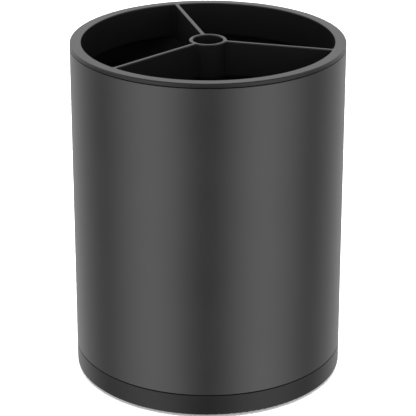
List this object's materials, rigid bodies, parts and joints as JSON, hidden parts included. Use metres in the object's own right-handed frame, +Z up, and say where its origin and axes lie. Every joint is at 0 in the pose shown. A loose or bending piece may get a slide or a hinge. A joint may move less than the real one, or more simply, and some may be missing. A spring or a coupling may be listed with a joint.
{
  "type": "rotating desk organizer",
  "caption": "Round pen holder that turns on a low ball-bearing base: metal sleeve, black rim with dividers and a hub ring over one deep cup.",
  "frame": {"origin": "middle of the surface that the organizer stands on, on the turning axis", "axes": "+Z up along the turning axis; one divider points 15 degrees clockwise of +X seen from above, and -Y is the front"},
  "size_m": [0.08, 0.08, 0.102],
  "materials": {
    "gunmetal": "satin gunmetal, fine bead-blasted and anodised",
    "rim_plastic": "black moulded plastic, satin",
    "black_plastic": "black moulded plastic, satin",
    "foot_rubber": "matt black rubber",
    "natural_plastic": "natural acetal, smooth",
    "race_steel": "zinc-plated steel",
    "screw_steel": "zinc-plated steel",
    "ball_steel": "polished steel",
    "brass": "machined brass"
  },
  "bodies": {
    "base": {"base_housing": "black_plastic", "foot_pad": "foot_rubber", "pivot_bushing": "natural_plastic", "lower_race": "race_steel", "lower_race_screws": "screw_steel"},
    "cup": {"sleeve": "gunmetal", "divider_insert": "rim_plastic", "cup_floor": "black_plastic", "upper_race": "race_steel", "upper_race_screws": "screw_steel", "pivot_insert": "brass", "pivot_screw": "screw_steel", "pivot_washer": "screw_steel"},
    "ball_train": {"ball_cage": "natural_plastic", "ball_01": "ball_steel", "ball_02": "ball_steel", "ball_03": "ball_steel", "ball_04": "ball_steel", "ball_05": "ball_steel", "ball_06": "ball_steel", "ball_07": "ball_steel", "ball_08": "ball_steel", "ball_09": "ball_steel", "ball_10": "ball_steel", "ball_11": "ball_steel", "ball_12": "ball_steel"}
  },
  "joints": [
    {"name": "cup_spin", "type": "hinge", "parent": "base", "child": "cup", "pos_m": [0, 0, 0.006], "axis": [0, 0, 1], "continuous": true},
    {"name": "bearing_spin", "type": "hinge", "parent": "base", "child": "ball_train", "pos_m": [0, 0, 0.00563], "axis": [0, 0, 1], "continuous": true}
  ],
  "couplings": [
    {"joint": "bearing_spin", "follows": "cup_spin", "ratio": 0.5}
  ]
}
